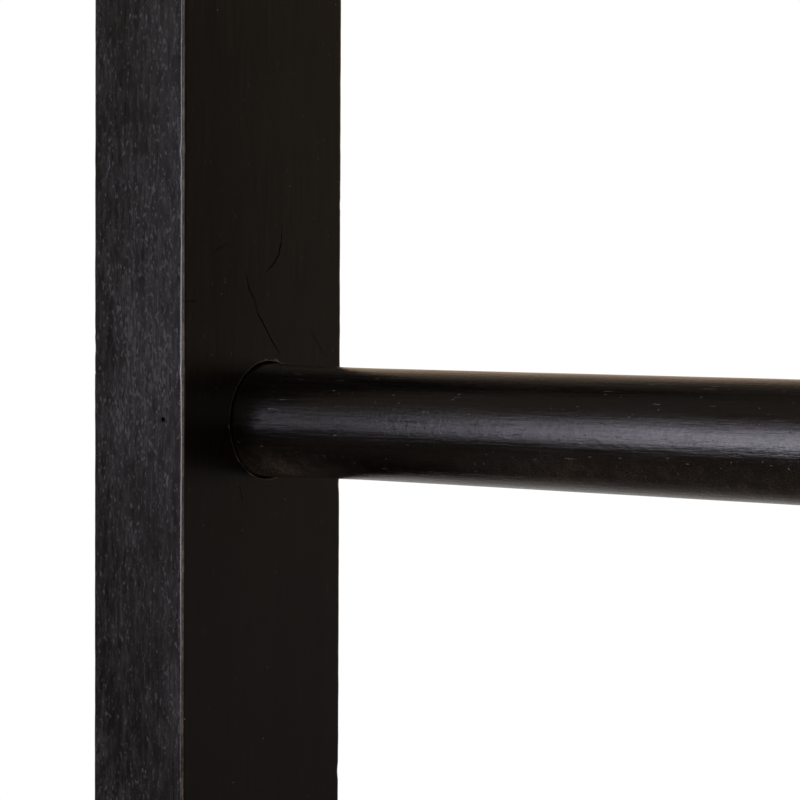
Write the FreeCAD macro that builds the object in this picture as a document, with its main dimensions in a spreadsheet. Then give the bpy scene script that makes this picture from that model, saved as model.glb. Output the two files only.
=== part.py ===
import FreeCAD, Part
import math
import os
import Sketcher

# A free-standing quilt rack in black-stained wood.  Two plain uprights stand on arched runner feet
# and carry four round bars.  Each bar swells a little where it enters its blind seat in the upright,
# and is drawn tight by a bolt from outside, hidden under a wooden plug.
# The row frame: origin on the floor under the middle, +X to the right along the bars, the front
# faces -Y, +Z is up.  All sizes are in millimetres.

DIMENSIONS = {
    "overall_width": 813,
    "overall_depth": 356,
    "overall_height": 914,
    "post_thickness": 31.75,
    "post_width": 63.5,
    "post_top_round": 6,
    "arris": 1,
    "bar_radius": 14.4,
    "bar_shoulder_radius": 15,
    "bar_swell_length": 40,
    "bar_setback": 2,
    "bar_spacing": 228,
    "bottom_bar_height": 184,
    "bar_end_chamfer": 1,
    "seat_radius": 15.05,
    "seat_mouth_radius": 15.75,
    "seat_depth": 12,
    "seat_end_gap": 0.5,
    "clearance": 0.05,
    "bolt_radius": 3,
    "bolt_hole_radius": 3.3,
    "bolt_head_radius": 5,
    "bolt_head_height": 4,
    "bolt_hex_corner_radius": 2.3,
    "bolt_hex_depth": 2.2,
    "bolt_end_chamfer": 0.7,
    "bar_bolt_length": 30,
    "bar_bolt_hole_depth": 25,
    "counterbore_radius": 6,
    "plug_thickness": 5,
    "insert_radius": 5,
    "insert_length": 15,
    "foot_height": 63.5,
    "foot_toe_height": 30,
    "foot_flat_top": 80,
    "foot_shoulder_round": 60,
    "foot_toe_round": 14,
    "foot_heel_round": 8,
    "foot_arch_chord": 236,
    "foot_arch_rise": 12,
    "foot_bolt_spacing": 36,
    "foot_bolt_length": 60,
    "foot_bolt_tail": 6,
    "foot_counterbore_radius": 7,
    "washer_radius": 6,
    "washer_hole_radius": 3.2,
    "washer_thickness": 1.6,
    "barrel_nut_radius": 5,
    "barrel_nut_length": 24,
    "barrel_nut_height": 25,
    "barrel_nut_slot_width": 1.4,
    "barrel_nut_slot_depth": 1.6,
    "pin_radius": 4,
    "pin_length": 40,
    "pin_chamfer": 1,
    "glide_radius": 9.5,
    "glide_height": 3,
    "glide_chamfer": 1,
    "glide_inset": 30,
    "nail_radius": 1,
    "nail_length": 12,
}

# Lengths worked out from the driving dimensions, as expressions on the sheet.
POST_HALF = "dims.post_thickness / 2"
POST_CENTRE = "(dims.overall_width / 2 - dims.post_thickness / 2)"
POST_OUTER = "(dims.overall_width / 2)"
POST_INNER = "(dims.overall_width / 2 - dims.post_thickness)"
FOOT_TOP = "(dims.glide_height + dims.foot_height)"
COUNTERBORE_DEPTH = "(dims.bolt_head_height + dims.plug_thickness)"
BAR_END = "(dims.overall_width / 2 - dims.post_thickness + dims.seat_depth - dims.seat_end_gap)"
SWELL_START = "(dims.overall_width / 2 - dims.post_thickness - dims.bar_swell_length)"
BARREL_NUT_AXIS = "(dims.glide_height + dims.foot_height + dims.barrel_nut_height)"
FOOT_BOLT_SEAT = "(%s + dims.foot_bolt_tail - dims.foot_bolt_length)" % BARREL_NUT_AXIS
GLIDE_SPREAD = "(dims.overall_depth / 2 - dims.glide_inset)"

# The bars from the top down, each with its number of spacings above the bottom bar.
BARS = [("top_bar", 3), ("upper_bar", 2), ("lower_bar", 1), ("bottom_bar", 0)]
# The two ends of the rack: -1 is the left end, +1 the right end.
SIDES = [("left", -1), ("right", 1)]
# Front and back of each foot.
ENDS = [("front", -1), ("back", 1)]

document = FreeCAD.newDocument("quilt_rack")
sheet = document.addObject("Spreadsheet::Sheet", "dims")
for row, (alias, number) in enumerate(DIMENSIONS.items(), start=1):
    sheet.set("A%d" % row, alias)
    sheet.set("B%d" % row, str(number))
    sheet.setAlias("B%d" % row, alias)
document.recompute()

bodies = []


def value(expression):
    """The number that an expression on the sheet gives now."""
    result = sheet.evalExpression(expression.replace("dims.", ""))
    return float(getattr(result, "Value", result))


def new_body(name):
    body = document.addObject("PartDesign::Body", name)
    body.Label = name
    bodies.append(body)
    return body


def place(body, x="0", y="0", z="0", turn=None):
    """Move a body to its place in the rack.  turn is (axis, degrees)."""
    if turn is not None:
        body.Placement = FreeCAD.Placement(FreeCAD.Vector(), FreeCAD.Rotation(*turn))
    for coordinate, expression in (("x", x), ("y", y), ("z", z)):
        body.setExpression("Placement.Base." + coordinate, expression)


def origin_feature(body, role):
    for feature in body.Origin.OriginFeatures:
        if feature.Role == role:
            return feature
    raise ValueError("no origin feature " + role)


def new_sketch(body, name, plane, offset=("0", "0", "0")):
    """A sketch on one of the body's origin planes, shifted by expressions in the plane's own axes."""
    sketch = body.newObject("Sketcher::SketchObject", body.Name + "_" + name)
    sketch.AttachmentSupport = (origin_feature(body, plane), [""])
    sketch.MapMode = "FlatFace"
    for coordinate, expression in zip("xyz", offset):
        sketch.setExpression("AttachmentOffset.Base." + coordinate, expression)
    return sketch


def pin_point(sketch, geometry, point, where):
    """Hold one point of a sketch at two expressions, each a named constraint."""
    for kind, expression in (("DistanceX", where[0]), ("DistanceY", where[1])):
        number = value(expression)
        index = sketch.addConstraint(Sketcher.Constraint(kind, -1, 1, geometry, point, number))
        constraint = "%s_%d_%d" % (kind, geometry, point)
        sketch.renameConstraint(index, constraint)
        sketch.setExpression("Constraints." + constraint, expression)


def add_outline(sketch, points):
    """A closed outline of straight lines through points given as expressions."""
    corners = [FreeCAD.Vector(value(x), value(y), 0) for x, y in points]
    count = len(corners)
    for index in range(count):
        sketch.addGeometry(Part.LineSegment(corners[index], corners[(index + 1) % count]), False)
    for index in range(count):
        following = (index + 1) % count
        sketch.addConstraint(Sketcher.Constraint("Coincident", index, 2, following, 1))
        pin_point(sketch, index, 1, points[index])


def add_circle(sketch, centre, radius):
    middle = FreeCAD.Vector(value(centre[0]), value(centre[1]), 0)
    circle = Part.Circle(middle, FreeCAD.Vector(0, 0, 1), value(radius))
    geometry = sketch.addGeometry(circle, False)
    pin_point(sketch, geometry, 3, centre)
    index = sketch.addConstraint(Sketcher.Constraint("Radius", geometry, value(radius)))
    constraint = "radius_%d" % geometry
    sketch.renameConstraint(index, constraint)
    sketch.setExpression("Constraints." + constraint, radius)


def pad(body, sketch, length):
    """Thicken a sketch by the same amount to both sides of its plane."""
    feature = body.newObject("PartDesign::Pad", sketch.Name + "_pad")
    feature.Profile = sketch
    feature.SideType = "Symmetric"
    feature.setExpression("Length", length)
    document.recompute()
    return feature


def revolve(body, sketch, axis):
    feature = body.newObject("PartDesign::Revolution", sketch.Name + "_turned")
    feature.Profile = sketch
    feature.ReferenceAxis = (sketch, [axis])
    feature.Angle = 360
    document.recompute()
    return feature


def check_cut(body, before):
    """Every cut has to take something away."""
    if not body.Shape.Volume < before - 0.1:
        raise ValueError("nothing was cut from " + body.Label)


def pocket(body, sketch, depth=None, forward=False):
    """Cut a sketch into the body: through everything, or to a depth.  forward cuts along +normal."""
    before = body.Shape.Volume
    feature = body.newObject("PartDesign::Pocket", sketch.Name + "_cut")
    feature.Profile = sketch
    feature.Reversed = forward
    if depth is None:
        feature.Type = "ThroughAll"
    else:
        feature.setExpression("Length", depth)
    document.recompute()
    check_cut(body, before)
    return feature


def groove(body, sketch, axis):
    before = body.Shape.Volume
    feature = body.newObject("PartDesign::Groove", sketch.Name + "_turned")
    feature.Profile = sketch
    feature.ReferenceAxis = (sketch, [axis])
    feature.Angle = 360
    document.recompute()
    check_cut(body, before)
    return feature


def fillet(body, base, name, radius, wanted):
    """Round the edges of the last feature for which wanted(edge) is true."""
    names = ["Edge%d" % (i + 1) for i, edge in enumerate(base.Shape.Edges) if wanted(edge)]
    feature = body.newObject("PartDesign::Fillet", body.Name + "_" + name)
    feature.Base = (base, names)
    feature.setExpression("Radius", radius)
    document.recompute()
    return feature


def runs_along(edge, axis):
    """True for a straight edge along a row axis."""
    if edge.Curve.TypeId != "Part::GeomLine":
        return False
    return abs(abs(edge.Curve.Direction[axis]) - 1) < 1e-6


def near(number, expression):
    return abs(number - value(expression)) < 0.01


def make_upright(name, side):
    """A plain post.  Its inner face holds the seats of the bars and the barrel nuts' holes."""
    inward = -side
    body = new_body(name)
    place(body, x="%d * %s" % (side, POST_CENTRE))

    section = new_sketch(body, "section", "YZ_Plane")
    front, back = "-dims.post_width / 2", "dims.post_width / 2"
    add_outline(section, [(front, FOOT_TOP), (back, FOOT_TOP),
                          (back, "dims.overall_height"), (front, "dims.overall_height")])
    post = pad(body, section, "dims.post_thickness")
    top_corners = lambda edge: runs_along(edge, 0) and near(edge.CenterOfMass.z, "dims.overall_height")
    rounded = fillet(body, post, "top", "dims.post_top_round", top_corners)
    outside_face = lambda edge: near(abs(edge.CenterOfMass.x), POST_HALF)
    above_foot = lambda edge: outside_face(edge) and not near(edge.CenterOfMass.z, FOOT_TOP)
    fillet(body, rounded, "arris", "dims.arris", above_foot)

    # One turned cut makes the blind seat with its eased mouth, the bolt's hole and the counterbore.
    seat = new_sketch(body, "seat", "XZ_Plane", ("0", "dims.bottom_bar_height", "-dims.bar_setback"))
    inner_face = "%d * %s" % (inward, POST_HALF)
    outer_face = "%d * %s" % (side, POST_HALF)
    bevel = "%d * (%s - (dims.seat_mouth_radius - dims.seat_radius))" % (inward, POST_HALF)
    floor = "%d * (%s - dims.seat_depth)" % (inward, POST_HALF)
    step = "%d * (%s - %s)" % (side, POST_HALF, COUNTERBORE_DEPTH)
    add_outline(seat, [(inner_face, "0"), (inner_face, "dims.seat_mouth_radius"),
                       (bevel, "dims.seat_radius"), (floor, "dims.seat_radius"),
                       (floor, "dims.bolt_hole_radius"), (step, "dims.bolt_hole_radius"),
                       (step, "dims.counterbore_radius"), (outer_face, "dims.counterbore_radius"),
                       (outer_face, "0")])
    cut = groove(body, seat, "H_Axis")
    seats = body.newObject("PartDesign::LinearPattern", body.Name + "_seats")
    seats.Originals = [cut]
    seats.Direction = (origin_feature(body, "Z_Axis"), [""])
    seats.setExpression("Length", "%d * dims.bar_spacing" % (len(BARS) - 1))
    seats.Occurrences = len(BARS)
    body.Tip = seats
    document.recompute()

    # Holes in the foot end: two for the foot bolts and one for the locating pin.
    bolt_spread = "dims.foot_bolt_spacing / 2"
    bolts = new_sketch(body, "bolt_holes", "XY_Plane", ("0", "0", FOOT_TOP))
    for _, end in ENDS:
        add_circle(bolts, ("0", "%d * %s" % (end, bolt_spread)), "dims.bolt_hole_radius")
    pocket(body, bolts, "dims.barrel_nut_height + dims.foot_bolt_tail + 3", forward=True)
    pins = new_sketch(body, "pin_hole", "XY_Plane", ("0", "0", FOOT_TOP))
    add_circle(pins, ("0", "0"), "dims.pin_radius + dims.clearance")
    pocket(body, pins, "dims.pin_length / 2 + 0.5", forward=True)

    # Cross holes for the barrel nuts, drilled from the inner face.
    nuts = new_sketch(body, "nut_holes", "YZ_Plane", ("0", "0", inner_face))
    for _, end in ENDS:
        where = ("%d * %s" % (end, bolt_spread), BARREL_NUT_AXIS)
        add_circle(nuts, where, "dims.barrel_nut_radius + dims.clearance")
    depth = "dims.post_thickness / 2 + dims.barrel_nut_length / 2"
    pocket(body, nuts, depth, forward=inward < 0)


def make_foot(name, side):
    """A runner foot: flat where the post stands, sloping to round toes, arched underneath."""
    body = new_body(name)
    place(body, x="%d * %s" % (side, POST_CENTRE))
    toe, shoulder = "dims.overall_depth / 2", "dims.foot_flat_top / 2"
    base, toe_top = "dims.glide_height", "dims.glide_height + dims.foot_toe_height"
    outline = new_sketch(body, "outline", "YZ_Plane")
    add_outline(outline, [("-" + toe, base), (toe, base), (toe, toe_top), (shoulder, FOOT_TOP),
                          ("-" + shoulder, FOOT_TOP), ("-" + toe, toe_top)])
    runner = pad(body, outline, "dims.post_thickness")

    at_toe = lambda edge: runs_along(edge, 0) and near(abs(edge.CenterOfMass.y), toe)
    toe_edges = lambda edge: at_toe(edge) and near(edge.CenterOfMass.z, toe_top)
    runner = fillet(body, runner, "toes", "dims.foot_toe_round", toe_edges)
    heel_edges = lambda edge: runs_along(edge, 0) and near(edge.CenterOfMass.z, base)
    runner = fillet(body, runner, "heels", "dims.foot_heel_round", heel_edges)
    shoulder_edges = lambda edge: runs_along(edge, 0) and near(edge.CenterOfMass.z, FOOT_TOP)
    fillet(body, runner, "shoulders", "dims.foot_shoulder_round", shoulder_edges)

    arch = new_sketch(body, "arch", "YZ_Plane")
    radius = "((dims.foot_arch_chord / 2) ^ 2 + dims.foot_arch_rise ^ 2) / (2 * dims.foot_arch_rise)"
    centre = "dims.glide_height + dims.foot_arch_rise - " + radius
    add_circle(arch, ("0", centre), radius)
    before = body.Shape.Volume
    relief = body.newObject("PartDesign::Pocket", arch.Name + "_cut")
    relief.Profile = arch
    relief.SideType = "Symmetric"
    relief.setExpression("Length", "dims.post_thickness + 2")
    document.recompute()
    check_cut(body, before)
    on_side_face = lambda edge: near(abs(edge.CenterOfMass.x), POST_HALF)
    fillet(body, relief, "arris", "dims.arris", on_side_face)

    # Counterbores and holes for the foot bolts, the pin's hole and the nails of the glides.
    bolt_spread = "dims.foot_bolt_spacing / 2"
    for part, hole, depth in (("counterbores", "dims.foot_counterbore_radius",
                               FOOT_BOLT_SEAT + " + dims.washer_thickness"),
                              ("bolt_holes", "dims.bolt_hole_radius", FOOT_TOP)):
        sketch = new_sketch(body, part, "XY_Plane")
        for _, end in ENDS:
            add_circle(sketch, ("0", "%d * %s" % (end, bolt_spread)), hole)
        pocket(body, sketch, depth, forward=True)
    pin = new_sketch(body, "pin_hole", "XY_Plane", ("0", "0", FOOT_TOP))
    add_circle(pin, ("0", "0"), "dims.pin_radius + dims.clearance")
    pocket(body, pin, "dims.pin_length / 2 + 0.5")
    nails = new_sketch(body, "nail_holes", "XY_Plane", ("0", "0", base))
    for _, end in ENDS:
        add_circle(nails, ("0", "%d * %s" % (end, GLIDE_SPREAD)), "dims.nail_radius + dims.clearance")
    pocket(body, nails, "dims.nail_length + 0.5", forward=True)


def make_bar(name, spacings):
    """A round bar.  One half is turned, with the long hollow curve of its swell, then mirrored."""
    body = new_body(name)
    place(body, y="dims.bar_setback", z="dims.bottom_bar_height + %d * dims.bar_spacing" % spacings)
    profile = new_sketch(body, "profile", "XZ_Plane")
    thin, thick = "dims.bar_radius", "dims.bar_shoulder_radius"
    socket = "dims.insert_radius + dims.clearance"
    points = [("0", "0"), ("0", thin), (SWELL_START, thin), (POST_INNER, thick),
              (BAR_END + " - dims.bar_end_chamfer", thick), (BAR_END, thick + " - dims.bar_end_chamfer"),
              (BAR_END, socket), (BAR_END + " - dims.insert_length", socket),
              (BAR_END + " - dims.insert_length", "dims.bolt_hole_radius"),
              (BAR_END + " - dims.bar_bolt_hole_depth", "dims.bolt_hole_radius"),
              (BAR_END + " - dims.bar_bolt_hole_depth", "0")]
    corners = [FreeCAD.Vector(value(x), value(y), 0) for x, y in points]
    swell = 2
    rise = corners[swell + 1].y - corners[swell].y
    run = corners[swell + 1].x - corners[swell].x
    radius = (run ** 2 + rise ** 2) / (2 * rise)
    for index, corner in enumerate(corners):
        following = corners[(index + 1) % len(corners)]
        if index == swell:
            centre = corner + FreeCAD.Vector(0, radius, 0)
            circle = Part.Circle(centre, FreeCAD.Vector(0, 0, 1), radius)
            start = -math.pi / 2
            arc = Part.ArcOfCircle(circle, start, start + math.asin(run / radius))
            profile.addGeometry(arc, False)
        else:
            profile.addGeometry(Part.LineSegment(corner, following), False)
    for index in range(len(points)):
        profile.addConstraint(Sketcher.Constraint("Coincident", index, 2, (index + 1) % len(points), 1))
        if index != swell:
            pin_point(profile, index, 1, points[index])
    pin_point(profile, swell, 1, points[swell])
    profile.addConstraint(Sketcher.Constraint("Vertical", swell, 1, swell, 3))
    turned = revolve(body, profile, "H_Axis")
    mirrored = body.newObject("PartDesign::Mirrored", body.Name + "_mirrored")
    mirrored.Originals = [turned]
    mirrored.MirrorPlane = (origin_feature(body, "YZ_Plane"), [""])
    body.Tip = mirrored
    document.recompute()


def make_turned(name, points):
    """A small turned piece about its own +Z, from points given as (radius, height)."""
    body = new_body(name)
    profile = new_sketch(body, "profile", "XZ_Plane")
    add_outline(profile, points)
    revolve(body, profile, "V_Axis")
    return body


def make_bolt(name, length):
    """A low-head bolt with a hexagon socket.  The head's outer face is at the piece's origin."""
    head, under = "dims.bolt_head_height", "dims.bolt_head_height + " + length
    bevel = "dims.bolt_end_chamfer"
    body = make_turned(name, [("0", "0"), ("dims.bolt_head_radius - %s" % bevel, "0"),
                              ("dims.bolt_head_radius", bevel), ("dims.bolt_head_radius", head),
                              ("dims.bolt_radius", head), ("dims.bolt_radius", "%s - %s" % (under, bevel)),
                              ("dims.bolt_radius - %s" % bevel, under), ("0", under)])
    socket = new_sketch(body, "socket", "XY_Plane")
    reach = "dims.bolt_hex_corner_radius"
    corners = [("%s * cos(%d deg)" % (reach, 60 * i), "%s * sin(%d deg)" % (reach, 60 * i))
               for i in range(6)]
    add_outline(socket, corners)
    pocket(body, socket, "dims.bolt_hex_depth", forward=True)
    return body


def make_barrel_nut(name):
    """A cross nut: a short rod with a threaded cross hole and a screwdriver slot in one end."""
    half = "dims.barrel_nut_length / 2"
    radius, bevel = "dims.barrel_nut_radius", "dims.bolt_end_chamfer"
    body = make_turned(name, [("0", "-" + half), ("%s - %s" % (radius, bevel), "-" + half),
                              (radius, "-%s + %s" % (half, bevel)), (radius, "%s - %s" % (half, bevel)),
                              ("%s - %s" % (radius, bevel), half), ("0", half)])
    cross = new_sketch(body, "cross_hole", "YZ_Plane", ("0", "0", "-dims.barrel_nut_radius"))
    add_circle(cross, ("0", "0"), "dims.bolt_radius + dims.clearance")
    pocket(body, cross, "2 * dims.barrel_nut_radius", forward=True)
    slot = new_sketch(body, "slot", "XY_Plane", ("0", "0", half))
    width, reach = "dims.barrel_nut_slot_width / 2", "dims.barrel_nut_radius + 1"
    add_outline(slot, [("-(%s)" % reach, "-" + width), (reach, "-" + width),
                       (reach, width), ("-(%s)" % reach, width)])
    pocket(body, slot, "dims.barrel_nut_slot_depth")
    return body


def make_bar_fixings(bar, spacings, side_name, side):
    """The brass insert in a bar's end, the bolt through the post, and the plug that hides it."""
    height = "dims.bottom_bar_height + %d * dims.bar_spacing" % spacings
    inward = (FreeCAD.Vector(0, 1, 0), -90 * side)
    name = "%s_%s_" % (bar, side_name)

    hole, wall = "dims.bolt_radius + dims.clearance", "dims.insert_radius"
    length, bevel = "dims.insert_length", "dims.bolt_end_chamfer"
    insert = make_turned(name + "insert", [(hole, "0"), (wall, "0"), (wall, "%s - %s" % (length, bevel)),
                                           ("%s - %s" % (wall, bevel), length), (hole, length)])
    place(insert, x="%d * %s" % (side, BAR_END), y="dims.bar_setback", z=height, turn=inward)

    bolt = make_bolt(name + "bolt", "dims.bar_bolt_length")
    head_face = "%d * (%s - dims.plug_thickness)" % (side, POST_OUTER)
    place(bolt, x=head_face, y="dims.bar_setback", z=height, turn=inward)

    rim = "dims.counterbore_radius - dims.clearance"
    eased = "%s - dims.arris / 2" % rim
    plug = make_turned(name + "plug", [("0", "0"), (eased, "0"), (rim, "dims.arris / 2"),
                                       (rim, "dims.plug_thickness"), ("0", "dims.plug_thickness")])
    place(plug, x="%d * %s" % (side, POST_OUTER), y="dims.bar_setback", z=height, turn=inward)


def make_foot_fixings(side_name, side):
    """What holds an upright on its foot, and the glides the foot stands on."""
    centre = "%d * %s" % (side, POST_CENTRE)
    for end_name, end in ENDS:
        name = "%s_%s_" % (side_name, end_name)
        spread = "%d * dims.foot_bolt_spacing / 2" % end
        bolt = make_bolt(name + "foot_bolt", "dims.foot_bolt_length")
        place(bolt, x=centre, y=spread, z=FOOT_BOLT_SEAT + " - dims.bolt_head_height")

        inner, outer, thick = "dims.washer_hole_radius", "dims.washer_radius", "dims.washer_thickness"
        washer = make_turned(name + "washer", [(inner, "0"), (outer, "0"), (outer, thick), (inner, thick)])
        place(washer, x=centre, y=spread, z=FOOT_BOLT_SEAT)

        nut = make_barrel_nut(name + "barrel_nut")
        facing_in = (FreeCAD.Vector(0, 1, 0), -90 * side)
        place(nut, x=centre, y=spread, z=BARREL_NUT_AXIS, turn=facing_in)

        rim, bevel = "dims.glide_radius", "dims.glide_chamfer"
        top, nail = "dims.glide_height", "dims.nail_radius"
        tip = "dims.glide_height + dims.nail_length"
        glide = make_turned(name + "glide", [("0", "0"), ("%s - %s" % (rim, bevel), "0"), (rim, bevel),
                                             (rim, top), (nail, top), (nail, tip + " - " + nail),
                                             ("0", tip)])
        place(glide, x=centre, y="%d * %s" % (end, GLIDE_SPREAD))

    radius, half, bevel = "dims.pin_radius", "dims.pin_length / 2", "dims.pin_chamfer"
    pin = make_turned(side_name + "_foot_pin", [("0", "-" + half), ("%s - %s" % (radius, bevel), "-" + half),
                                                (radius, "-%s + %s" % (half, bevel)),
                                                (radius, "%s - %s" % (half, bevel)),
                                                ("%s - %s" % (radius, bevel), half), ("0", half)])
    place(pin, x=centre, z=FOOT_TOP)


for side_name, side in SIDES:
    make_upright(side_name + "_upright", side)
    make_foot(side_name + "_foot", side)
    make_foot_fixings(side_name, side)
for bar, spacings in BARS:
    make_bar(bar, spacings)
    for side_name, side in SIDES:
        make_bar_fixings(bar, spacings, side_name, side)
document.recompute()

for item in document.Objects:
    if "Invalid" in item.State or "Error" in item.State:
        raise ValueError("%s failed: %s" % (item.Name, item.State))
for body in bodies:
    if body.Shape.isNull() or not body.Shape.isValid() or len(body.Shape.Solids) != 1:
        raise ValueError("the shape of %s is not one valid solid" % body.Label)

os.makedirs("parts", exist_ok=True)
for body in bodies:
    body.Shape.exportStep("parts/%s.step" % body.Label)
print("%d nodes written" % len(bodies))
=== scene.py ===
import math
import random
from collections import namedtuple

import bmesh
import bpy
from mathutils import Matrix, Vector, noise


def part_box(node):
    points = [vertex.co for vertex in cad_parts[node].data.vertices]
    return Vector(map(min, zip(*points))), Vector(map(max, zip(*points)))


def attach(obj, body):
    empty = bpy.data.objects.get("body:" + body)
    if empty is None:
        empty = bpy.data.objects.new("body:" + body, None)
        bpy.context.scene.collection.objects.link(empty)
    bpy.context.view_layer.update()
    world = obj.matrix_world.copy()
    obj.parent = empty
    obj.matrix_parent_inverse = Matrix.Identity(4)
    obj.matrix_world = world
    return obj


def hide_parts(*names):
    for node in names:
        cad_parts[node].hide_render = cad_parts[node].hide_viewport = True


# A free-standing quilt rack in black-stained wood: two posts on arched feet, four round bars.
# Lengths are in metres; MM turns a workshop size into metres.

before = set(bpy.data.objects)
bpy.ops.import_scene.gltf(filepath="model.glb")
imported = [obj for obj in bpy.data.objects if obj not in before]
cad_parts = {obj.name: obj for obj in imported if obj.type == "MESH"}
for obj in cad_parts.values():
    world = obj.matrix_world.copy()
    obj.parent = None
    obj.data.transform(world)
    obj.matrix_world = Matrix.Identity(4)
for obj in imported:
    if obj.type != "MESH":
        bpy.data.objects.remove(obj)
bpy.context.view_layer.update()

MM = 0.001

# ---------------------------------------------------------------------------------------------
# Sizes the joiner would know.  Places come from the frame.
# ---------------------------------------------------------------------------------------------

BARS = ("top_bar", "upper_bar", "lower_bar", "bottom_bar")
SIDES = {"left": -1, "right": 1}

BAR_RADIUS = 14.4 * MM
SHOULDER_RADIUS = 15 * MM
SWELL_LENGTH = 40 * MM
BAR_END_CHAMFER = 1 * MM
SOCKET_RADIUS = 5.05 * MM
SOCKET_DEPTH = 15 * MM
BOLT_HOLE_RADIUS = 3.3 * MM
BOLT_HOLE_DEPTH = 25 * MM

SEAT_RADIUS = 15.05 * MM
SEAT_MOUTH_RADIUS = 15.55 * MM
SEAT_MOUTH_DEPTH = 2.5 * MM
SEAT_LIP = 0.4 * MM
LIP_WEAR = 1.25
SEAT_DEPTH = 12 * MM
COUNTERBORE_RADIUS = 6 * MM
COUNTERBORE_DEPTH = 9 * MM

POST_TOP_ROUND = 6 * MM
EASE = 0.95 * MM
SHARP_EASE = 0.25 * MM
POST_CROWN = 0.12 * MM
CROWN_STEPS = 8

FOOT_TOE_HEIGHT = 30 * MM
FOOT_FLAT_TOP = 80 * MM
FOOT_SHOULDER_ROUND = 60 * MM
FOOT_TOE_ROUND = 14 * MM
FOOT_HEEL_ROUND = 8 * MM
FOOT_ARCH_CHORD = 236 * MM
FOOT_ARCH_RISE = 12 * MM
FOOT_COUNTERBORE_RADIUS = 7 * MM
FOOT_COUNTERBORE_DEPTH = 36.1 * MM
NUT_HOLE_RADIUS = 5.05 * MM
PIN_HOLE_RADIUS = 4.05 * MM
PIN_HOLE_DEPTH = 20.5 * MM
POST_BOLT_HOLE_DEPTH = 34 * MM
NAIL_HOLE_RADIUS = 1.05 * MM
NAIL_HOLE_DEPTH = 12.5 * MM


def middle(node):
    low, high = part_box(node)
    return (low + high) / 2


POST_LOW, POST_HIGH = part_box("left_upright")
FOOT_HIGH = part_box("left_foot")[1]
POST_INNER = abs(POST_HIGH.x)
POST_OUTER = abs(POST_LOW.x)
BAR_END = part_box("top_bar")[1].x
BAR_Y = middle("top_bar").y


# ---------------------------------------------------------------------------------------------
# Mesh making
# ---------------------------------------------------------------------------------------------

def in_scene(name, data):
    """A new object with its data, linked to the scene."""
    made = bpy.data.objects.new(name, data)
    bpy.context.scene.collection.objects.link(made)
    return made


def make_piece(name, points, faces):
    """A mesh object from points and faces, linked to the scene."""
    mesh = bpy.data.meshes.new(name)
    mesh.from_pydata([tuple(point) for point in points], [], faces)
    mesh.validate()
    return in_scene(name, mesh)


def ring_faces(rings, count):
    """The quads between rings of points, one ring after another."""
    return [(low + step, low + (step + 1) % count, high + (step + 1) % count, high + step)
            for low, high in ((ring * count, (ring + 1) * count) for ring in range(rings - 1))
            for step in range(count)]


def turned(name, profile, start, along, across, segments=64, wobble=None):
    """A piece turned about an axis.  The profile is (distance, radius) and ends on the axis.
    along is the axis and across a direction square to it, where the angle is zero."""
    side = along.cross(across)
    points = []
    for distance, radius in profile[1:-1]:
        for step in range(segments):
            angle = 2 * math.pi * step / segments
            reach = radius + (wobble(distance, angle) if wobble else 0)
            spoke = across * math.cos(angle) + side * math.sin(angle)
            points.append(start + along * distance + spoke * reach)
    faces = ring_faces(len(profile) - 2, segments)
    first, last = len(points), len(points) + 1
    points.append(start + along * profile[0][0])
    points.append(start + along * profile[-1][0])
    final = (len(profile) - 3) * segments
    for step in range(segments):
        following = (step + 1) % segments
        faces.append((first, following, step))
        faces.append((last, final + step, final + following))
    return make_piece(name, points, faces)


def arc_points(centre, radius, start, end, step):
    """Points (y, z) on an arc, from one angle to another, no further apart than step."""
    count = max(2, math.ceil(abs(end - start) * radius / step))
    angles = [start + (end - start) * i / count for i in range(count + 1)]
    return [(centre[0] + radius * math.cos(a), centre[1] + radius * math.sin(a)) for a in angles]


def rounded_outline(corners, step):
    """A closed outline through corners (y, z, radius), counter-clockwise, with its corners rounded
    and its straight runs divided.  A corner of radius 0 stays square."""
    path = []
    count = len(corners)
    for index, (y, z, radius) in enumerate(corners):
        here = Vector((y, z))
        before = Vector(corners[index - 1][:2])
        after = Vector(corners[(index + 1) % count][:2])
        back, ahead = (before - here).normalized(), (after - here).normalized()
        if radius == 0:
            path.append((y, z))
            continue
        half = back.angle(ahead) / 2
        centre = here + (back + ahead).normalized() * radius / math.sin(half)
        first = here + back * radius / math.tan(half) - centre
        last = here + ahead * radius / math.tan(half) - centre
        start = math.atan2(first.y, first.x)
        end = start + (math.atan2(last.y, last.x) - start + math.pi) % (2 * math.pi) - math.pi
        path += arc_points(centre, radius, start, end, step)
    outline = []
    for index, (y, z) in enumerate(path):
        here, after = Vector((y, z)), Vector(path[(index + 1) % len(path)])
        pieces = max(1, round((after - here).length / step))
        outline += [tuple(here.lerp(after, i / pieces)) for i in range(pieces)]
    return outline


def mitres(outline):
    """For each point of an outline, the outward mitre that moves both its edges out by one."""
    found = []
    for index, point in enumerate(outline):
        here = Vector(point)
        back = (here - Vector(outline[index - 1])).normalized()
        ahead = (Vector(outline[(index + 1) % len(outline)]) - here).normalized()
        normal_back, normal_ahead = Vector((back.y, -back.x)), Vector((ahead.y, -ahead.x))
        found.append((normal_back + normal_ahead) / (1 + normal_back.dot(normal_ahead)))
    return found


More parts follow.
